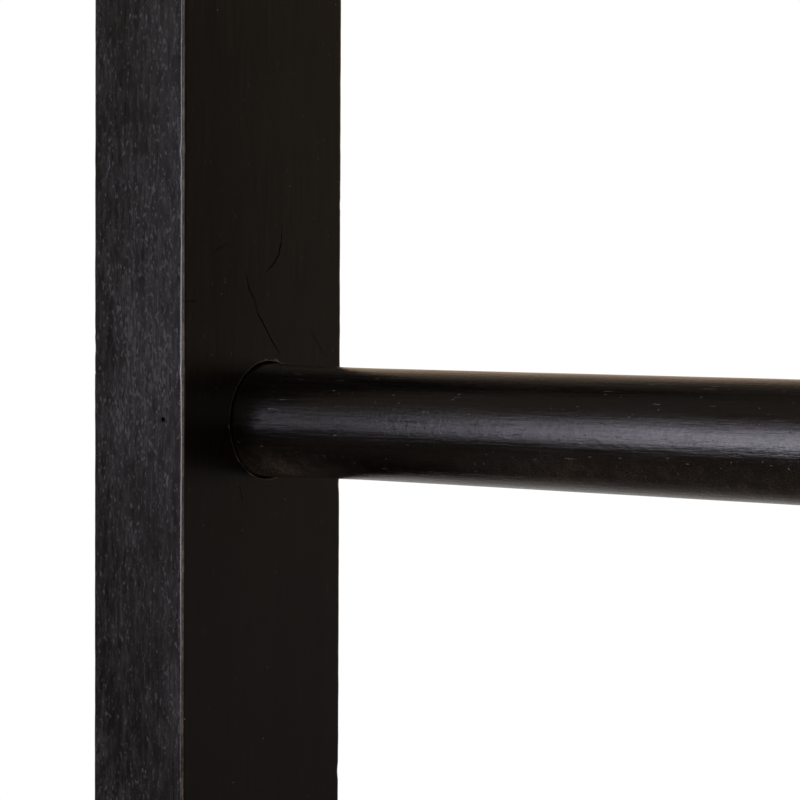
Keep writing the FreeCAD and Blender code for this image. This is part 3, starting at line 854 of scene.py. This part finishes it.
# How each kind of piece is finished: the lacquer's own roughness; how much the stain varies along the
# grain; how pale the limed flecks are on the front and back; the share of open pores; the share of
# places with a speck of dust; how brown the undersides are drawn, with dust and a painted reflection of
# the floor; how deep the grain is felt and how wide a speck is, in millimetres; and how much the
# roughness follows the grain.
Finish = namedtuple("Finish", "roughness figure flecks pores dust grime relief speck drawn")
POST_FINISH = Finish(0.205, 1.0, 1.0, 0.03, 0.05, 0.0, 0.014, 0.20, 0.04)
FOOT_FINISH = Finish(0.24, 1.0, 0.8, 0.08, 0.05, 0.0, 0.03, 0.25, 0.05)
BAR_FINISH = Finish(0.14, 0.4, 0.0, 0.06, 0.25, 1.0, 0.13, 0.15, 0.12)
PLUG_FINISH = Finish(0.25, 1.0, 0.0, 0.15, 0.02, 0.0, 0.04, 0.25, 0.05)


def cloudy_at(tree, place, seed, size, low, high):
    return effect(tree, CLOUDY, place, seed, Size=size, Low=low, High=high)["Mask"]


def emboss(tree, shader, height, depth, strength):
    """Give the surface a fine relief, from a height of 0 to 1 and its depth in millimetres."""
    bump = add_node(tree, "ShaderNodeBump", None, {"Strength": strength, "Distance": depth * MM,
                                                   "Height": height})
    feed(tree, shader.inputs["Normal"], bump.outputs["Normal"])


def patch_of_wear(tree, place, centre, reach):
    """More flecks around a centre, less and less over its reach along each axis, in metres."""
    away = add_node(tree, "ShaderNodeMapping", {"vector_type": "TEXTURE"},
                    {"Vector": place, "Location": [c / MM for c in centre],
                     "Scale": [r / MM for r in reach]})
    length = add_node(tree, "ShaderNodeVectorMath", {"operation": "LENGTH"})
    feed(tree, length.inputs[0], away.outputs[0])
    return spread(tree, length.outputs["Value"], 0.2, 1.5, 0.11, 0.01)


def black_stained_wood(name, grain, seed, finish, rubbed_at=None):
    """Black stain under a satin lacquer, on open-pored wood.  rubbed_at is the middle of a patch where
    the flecks are thickest, and its reach along each axis, in metres."""
    made, tree, shader = new_material(name)
    place = position_mm(tree, grain)
    grain_out = effect(tree, LONG_GRAIN, place, seed)

    pores = [effect(tree, OPEN_PORES, place, seed + offset, Length=length, Width=0.20,
                    Share=finish.pores)["Mask"] for offset, length in ((0.0, 2.2), (7.0, 0.7))]
    all_pores = maths(tree, "MAXIMUM", *pores)
    dulled = cloudy_at(tree, place, seed + 9.0, 45.0, 0.35, 0.7)
    mottle = cloudy_at(tree, scaled(tree, place, (1.0, 1.0, 0.5)), seed + 3.0, 1.0, 0.35, 0.75)
    specks = effect(tree, SETTLED_DUST, place, seed, Speck=finish.speck, Share=finish.dust)["Mask"]
    wear_and_painted_light = tree.nodes.new("ShaderNodeAttribute")
    wear_and_painted_light.attribute_name = "wear_and_painted_light"

    streaks = maths(tree, "MULTIPLY", grain_out["Fibre"],
                    maths(tree, "ADD", maths(tree, "MULTIPLY", grain_out["Figure"], 0.6), 0.2))
    streaks = maths(tree, "ADD", streaks, maths(tree, "MULTIPLY", mottle, 0.35), clamp=True)
    lightness = maths(tree, "MULTIPLY", streaks, finish.figure)
    colour = blend_colours(tree, lightness, STAIN_DARK, STAIN_LIGHT)
    rough = maths(tree, "MULTIPLY_ADD", dulled, 0.02, finish.roughness)
    rough = maths(tree, "MULTIPLY_ADD", grain_out["Fibre"], finish.drawn, rough)
    height = maths(tree, "MULTIPLY", mottle, 0.25)
    height = maths(tree, "MULTIPLY_ADD", grain_out["Fibre"], 0.4, height)
    height = maths(tree, "MULTIPLY_ADD", all_pores, -0.8, height)

    if finish.flecks > 0:
        facing = add_node(tree, "ShaderNodeSeparateXYZ", None,
                          {"Vector": tree.nodes.new("ShaderNodeNewGeometry").outputs["True Normal"]})
        sideways = maths(tree, "ABSOLUTE", facing.outputs["Y"])
        broadside = spread(tree, sideways, 0.7, 0.95, 0.03, 1.0)
        more = patch_of_wear(tree, place, *rubbed_at) if rubbed_at else 0.0
        flecks = effect(tree, LIMED_FLECKS, place, seed, More=more)["Mask"]
        flecks = maths(tree, "MULTIPLY", maths(tree, "MULTIPLY", flecks, broadside), finish.flecks)
        colour = blend_colours(tree, flecks, colour, FLECK_GREY)
        rough = maths(tree, "MULTIPLY_ADD", flecks, 0.1, rough)
    # Brown under the bars: speckled dust, and a painted reflection of the brown floor below.
    if finish.grime > 0:
        speckle = noise_at(tree, place, seed, 4.2, detail=1.0, roughness=0.5)
        patchy = noise_at(tree, place, seed, 0.3, detail=2.0, roughness=0.6)
        speckle = maths(tree, "MULTIPLY_ADD", patchy, 0.4, speckle)
        speckle = spread(tree, speckle, 0.68, 0.90, 0.25, 1.0)
        grime = maths(tree, "MULTIPLY", wear_and_painted_light.outputs["Fac"], speckle)
        grime = maths(tree, "MULTIPLY", grime, finish.grime)
        colour = blend_colours(tree, grime, colour, DUST_AND_REFLECTION_BROWN)
    else:
        worn = effect(tree, WORN_EDGE, place, seed, Wear=wear_and_painted_light.outputs["Fac"], Amount=0.30)["Mask"]
        colour = blend_colours(tree, worn, colour, BARE_TAN)
        rough = maths(tree, "MULTIPLY_ADD", worn, 0.12, rough)
        # Painted shade: deep in the cracks the colour is set to the darkest stain and the lacquer made
        # smoother.
        crack_painted_shade = maths(tree, "MULTIPLY", wear_and_painted_light.outputs["Fac"], -1.0, clamp=True)
        colour = blend_colours(tree, crack_painted_shade, colour, STAIN_DARK)
        rough = maths(tree, "MULTIPLY_ADD", crack_painted_shade, -0.15, rough)
    colour = blend_colours(tree, maths(tree, "MULTIPLY", all_pores, 0.4), colour, FLECK_GREY)
    colour = blend_colours(tree, maths(tree, "MULTIPLY", specks, 0.7), colour, DUST_GREY)
    feed(tree, shader.inputs["Base Color"], colour)
    feed(tree, shader.inputs["Roughness"], rough)
    emboss(tree, shader, height, finish.relief, 0.55)
    shader.inputs["IOR"].default_value = 1.5
    return made


def plain_wood(name, grain):
    """Unfinished beech, as in a locating pin."""
    made, tree, shader = new_material(name)
    place = position_mm(tree, grain)
    grain_out = effect(tree, LONG_GRAIN, place, 21.0)
    flecks = effect(tree, OPEN_PORES, place, 5.0, Length=1.6, Width=0.2, Share=0.5)["Mask"]
    colour = blend_colours(tree, grain_out["Fibre"], (0.50, 0.34, 0.20, 1), (0.66, 0.48, 0.31, 1))
    colour = blend_colours(tree, flecks, colour, (0.36, 0.22, 0.12, 1))
    feed(tree, shader.inputs["Base Color"], colour)
    feed(tree, shader.inputs["Roughness"], spread(tree, grain_out["Figure"], 0.0, 1.0, 0.55, 0.7))
    emboss(tree, shader, grain_out["Fibre"], 0.05, 0.4)
    return made


def plated_metal(name, bright, dull, roughness, mottle_size):
    """A plated or machined metal with faint mottling, turning marks and tarnish."""
    made, tree, shader = new_material(name)
    place = position_mm(tree, "z")
    mottle = cloudy_at(tree, place, 3.0, mottle_size, 0.35, 0.68)
    fine = cloudy_at(tree, place, 8.0, 0.35, 0.3, 0.7)
    feed(tree, shader.inputs["Base Color"], blend_colours(tree, mottle, bright, dull))
    level = maths(tree, "ADD", maths(tree, "MULTIPLY", mottle, 0.18), roughness)
    level = maths(tree, "ADD", level, maths(tree, "MULTIPLY", fine, 0.08))
    feed(tree, shader.inputs["Roughness"], level)
    shader.inputs["Metallic"].default_value = 1.0
    emboss(tree, shader, fine, 0.03, 0.3)
    return made


def moulded_nylon(name):
    made, tree, shader = new_material(name)
    place = position_mm(tree, "z")
    skin = cloudy_at(tree, place, 2.0, 0.5, 0.3, 0.7)
    scuffs = cloudy_at(tree, place, 6.0, 4.0, 0.45, 0.65)
    colour = blend_colours(tree, scuffs, (0.028, 0.028, 0.030, 1), (0.085, 0.085, 0.088, 1))
    feed(tree, shader.inputs["Base Color"], colour)
    feed(tree, shader.inputs["Roughness"], spread(tree, scuffs, 0.0, 1.0, 0.42, 0.62))
    emboss(tree, shader, skin, 0.03, 0.35)
    return made


def dress(piece, material):
    piece.data.materials.clear()
    piece.data.materials.append(material)


# ---------------------------------------------------------------------------------------------
# Putting the rack together
# ---------------------------------------------------------------------------------------------

def install(made, material):
    """A wooden piece takes the place of its CAD node."""
    piece, node = made
    dress(piece, material)
    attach(piece, "root")
    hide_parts(node)


# Where each post has been handled most: the middle of the patch, and its reach along each axis.
HANDLED = {"left": ((-POST_INNER - 14 * MM, POST_LOW.y, middle("upper_bar").z + 15 * MM),
                    (9 * MM, 20 * MM, 24 * MM)),
           "right": ((POST_INNER + 17 * MM, POST_LOW.y, middle("top_bar").z - 30 * MM),
                     (10 * MM, 20 * MM, 35 * MM))}

for side_name, side in SIDES.items():
    stained = black_stained_wood("stained_post_" + side_name, "z", 11.3 + 3.4 * side, POST_FINISH,
                                 HANDLED[side_name])
    install(make_post(side_name, side), stained)
    stained = black_stained_wood("stained_foot_" + side_name, "y", 24.0 + 3 * side, FOOT_FINISH)
    install(make_foot(side_name, side), stained)

for index, bar in enumerate(BARS):
    stained = black_stained_wood("stained_" + bar, "x", 40.0 + 5 * index, BAR_FINISH)
    install(make_bar(bar, 2.0 + index), stained)

ZINC = plated_metal("bright_zinc", (0.62, 0.64, 0.67, 1), (0.40, 0.42, 0.45, 1), 0.24, 3.0)
BRASS = plated_metal("machined_brass", (0.80, 0.58, 0.27, 1), (0.52, 0.36, 0.16, 1), 0.22, 4.0)
NYLON = moulded_nylon("moulded_nylon")
BEECH = plain_wood("plain_beech", "z")
PLUG_WOOD = black_stained_wood("stained_plug", "z", 63.0, PLUG_FINISH)
HARDWARE = {"insert": BRASS, "bolt": ZINC, "washer": ZINC, "nut": ZINC, "pin": BEECH,
            "glide": NYLON, "plug": PLUG_WOOD}
for node_name, node_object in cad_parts.items():
    kind = node_name.rsplit("_", 1)[-1]
    if kind in HARDWARE:
        dress(node_object, HARDWARE[kind])


# ---------------------------------------------------------------------------------------------
# Studio
# ---------------------------------------------------------------------------------------------

JOINT = Vector((-POST_INNER, BAR_Y, middle("upper_bar").z))
CAMERA_FROM_JOINT = Vector((495.5, -572.75, 34.5)) * MM


def make_camera():
    """Close on the left end of the upper bar, from the right and a little above."""
    yaw, pitch, roll = math.radians(38.26), math.radians(2.2), math.radians(0.27)
    toward = Vector((-math.sin(yaw) * math.cos(pitch), math.cos(yaw) * math.cos(pitch),
                     -math.sin(pitch)))
    level = Vector((math.cos(yaw), math.sin(yaw), 0))
    rise = level.cross(toward)
    right = level * math.cos(roll) + rise * math.sin(roll)
    up = rise * math.cos(roll) - level * math.sin(roll)
    data = bpy.data.cameras.new("close_view")
    data.lens = 129.1
    data.sensor_width = 36
    data.clip_start = 0.01
    data.clip_end = 60
    camera = in_scene("close_view", data)
    camera.matrix_world = Matrix((
        (right.x, up.x, -toward.x, 0), (right.y, up.y, -toward.y, 0),
        (right.z, up.z, -toward.z, 0), (0, 0, 0, 1)))
    camera.location = JOINT + CAMERA_FROM_JOINT
    bpy.context.scene.camera = camera


def softbox(name, azimuths, elevations, radiance, colour=(1, 1, 1), distance=2.4):
    """A soft rectangular light that faces the joint and fills a range of azimuth and elevation, in
    degrees.  Azimuth 0 is in front, 90 at the right and 180 behind."""
    azimuth, elevation = math.radians(sum(azimuths) / 2), math.radians(sum(elevations) / 2)
    level = math.cos(elevation)
    direction = Vector((math.sin(azimuth) * level, -math.cos(azimuth) * level, math.sin(elevation)))
    data = bpy.data.lights.new(name, "AREA")
    data.shape = "RECTANGLE"
    data.size = 2 * distance * math.tan(math.radians(azimuths[1] - azimuths[0]) / 2)
    data.size_y = 2 * distance * math.tan(math.radians(elevations[1] - elevations[0]) / 2)
    data.energy = radiance * math.pi * data.size * data.size_y
    data.color = colour
    light = in_scene(name, data)
    light.visible_camera = False
    light.location = JOINT + direction * distance
    light.rotation_euler = direction.to_track_quat("Z", "Y").to_euler()


def only_lights(light, objects):
    """The light reaches nothing but these objects."""
    group = bpy.data.collections.new(light.name + "_reach")
    for thing in objects:
        group.objects.link(thing)
    light.light_linking.receiver_collection = group


# Directions from the rack: to the paler floor behind its left, and to the ceiling over its front.
FLOOR_BEHIND = (-0.85, 0.53, 0.0)
CEILING = (-0.62, -0.42, 0.66)


def glow(tree, colour, strength):
    made = add_node(tree, "ShaderNodeEmission", None, {"Color": colour, "Strength": strength})
    return made.outputs[0]


def mix_shaders(tree, factor, first, second):
    made = add_node(tree, "ShaderNodeMixShader")
    for socket, given in zip(made.inputs, (factor, first, second)):
        feed(tree, socket, given)
    return made.outputs[0]


def lobe(tree, vector, toward, start, full):
    """How far a vector points along a direction, as 0 below start and 1 above full."""
    along = add_node(tree, "ShaderNodeVectorMath", {"operation": "DOT_PRODUCT"})
    feed(tree, along.inputs[0], vector)
    feed(tree, along.inputs[1], toward)
    return spread(tree, along.outputs["Value"], start, full)


def make_floor():
    """A plain pale floor that melts into the white of the room a few steps away."""
    rings, segments = 12, 64
    reach = 12.0
    points = [(0, 0, 0)]
    for ring in range(1, rings + 1):
        for step in range(segments):
            angle = 2 * math.pi * step / segments
            radius = reach * (ring / rings) ** 2
            points.append((radius * math.cos(angle), radius * math.sin(angle), 0))
    faces = [(0, 1 + step, 1 + (step + 1) % segments) for step in range(segments)]
    faces += [tuple(1 + corner for corner in reversed(face)) for face in ring_faces(rings, segments)]
    floor = make_piece("floor", points, faces)

    made = bpy.data.materials.new("pale_floor")
    made.use_nodes = True
    tree = made.node_tree
    tree.nodes.clear()
    ray = tree.nodes.new("ShaderNodeLightPath").outputs["Is Camera Ray"]
    where = tree.nodes.new("ShaderNodeTexCoord").outputs["Object"]
    distance = add_node(tree, "ShaderNodeVectorMath", {"operation": "LENGTH"})
    feed(tree, distance.inputs[0], where)
    far = spread(tree, distance.outputs["Value"], 1.2, 3.2)
    near_floor = add_node(tree, "ShaderNodeBsdfDiffuse", None, {"Color": (0.88, 0.88, 0.875, 1)})
    looked_at = mix_shaders(tree, far, near_floor.outputs[0], glow(tree, (1, 1, 1, 1), 1.03))
    depth = add_node(tree, "ShaderNodeSeparateXYZ", None, {"Vector": where}).outputs["Y"]
    behind = maths(tree, "MULTIPLY", lobe(tree, where, FLOOR_BEHIND, 0.5, 1.4),
                   spread(tree, depth, -0.6, 0.2))
    paler = maths(tree, "MULTIPLY", far, spread(tree, depth, -1.5, 0.0, 0.1, 1.0))
    tone = blend_colours(tree, paler, (0.052, 0.042, 0.034, 1), (0.14, 0.126, 0.112, 1))
    tone = blend_colours(tree, behind, tone, (0.66, 0.63, 0.61, 1))
    out = tree.nodes.new("ShaderNodeOutputMaterial")
    feed(tree, out.inputs["Surface"], mix_shaders(tree, ray, glow(tree, tone, 1.0), looked_at))
    dress(floor, made)
    return floor


def make_world():
    """A white room to look at.  What is reflected is dim, with a bright warm backdrop behind the rack
    and a paler ceiling over its front."""
    world = bpy.data.worlds.new("studio")
    bpy.context.scene.world = world
    world.use_nodes = True
    tree = world.node_tree
    tree.nodes.clear()
    ray = tree.nodes.new("ShaderNodeLightPath").outputs["Is Camera Ray"]
    where = tree.nodes.new("ShaderNodeTexCoord").outputs["Generated"]
    parts = add_node(tree, "ShaderNodeSeparateXYZ", None, {"Vector": where})
    around = blend_colours(tree, spread(tree, parts.outputs["Z"], -0.3, 0.6),
                           (0.036, 0.030, 0.026, 1), (0.075, 0.063, 0.052, 1))
    ceiling = lobe(tree, where, CEILING, math.cos(math.radians(45)), math.cos(math.radians(15)))
    around = blend_colours(tree, ceiling, around, (0.22, 0.18, 0.145, 1))
    low_enough = spread(tree, maths(tree, "ABSOLUTE", parts.outputs["Z"]), 0.15, 0.85, 1.0, 0.0)
    within = spread(tree, parts.outputs["X"], 0.36, 0.675, 1.0, 0.0)
    behind = spread(tree, parts.outputs["Y"], 0.1, 0.5)
    backdrop = maths(tree, "MULTIPLY", low_enough, maths(tree, "MULTIPLY", within, behind))
    around = blend_colours(tree, backdrop, around, (0.90, 0.67, 0.49, 1))
    seen = blend_colours(tree, ray, around, (1.03, 1.03, 1.03, 1))
    light = add_node(tree, "ShaderNodeBackground", None, {"Color": seen, "Strength": 1.0})
    out = tree.nodes.new("ShaderNodeOutputWorld")
    feed(tree, out.inputs["Surface"], light.outputs[0])


make_camera()
make_world()
the_floor = make_floor()
KEY_COLOUR = (1.0, 0.96, 1.10)
SKIRT_COLOUR = (1.0, 0.985, 1.18)
WARM = (1.0, 0.93, 0.84)
softbox("key_skirt", (-27.5, -14), (-8, 28), 2.9, SKIRT_COLOUR, distance=0.85)
softbox("key", (-25.5, -7), (-12, 15), 3.8, KEY_COLOUR, distance=0.84)
softbox("key_heart", (-21.8, 8), (-9.0, 4.5), 5.0, KEY_COLOUR, distance=0.83)
softbox("front_fill", (18, 50), (-5, 35), 1.0, WARM)
softbox("right_fill", (60, 85), (-10, 35), 0.9, WARM)
softbox("back_right_fill", (135, 165), (30, 60), 2.0, (1.0, 0.88, 0.75))
softbox("left_fill", (-105, -80), (0, 35), 1.6, (1.0, 0.98, 0.95))
softbox("overhead_fill", (60, 100), (70, 95), 1.6)

wash_data = bpy.data.lights.new("floor_wash", "SUN")
wash_data.energy = 3.1
wash_data.angle = math.radians(70)
only_lights(in_scene("floor_wash", wash_data), [the_floor])

bpy.context.scene.view_settings.view_transform = "Standard"
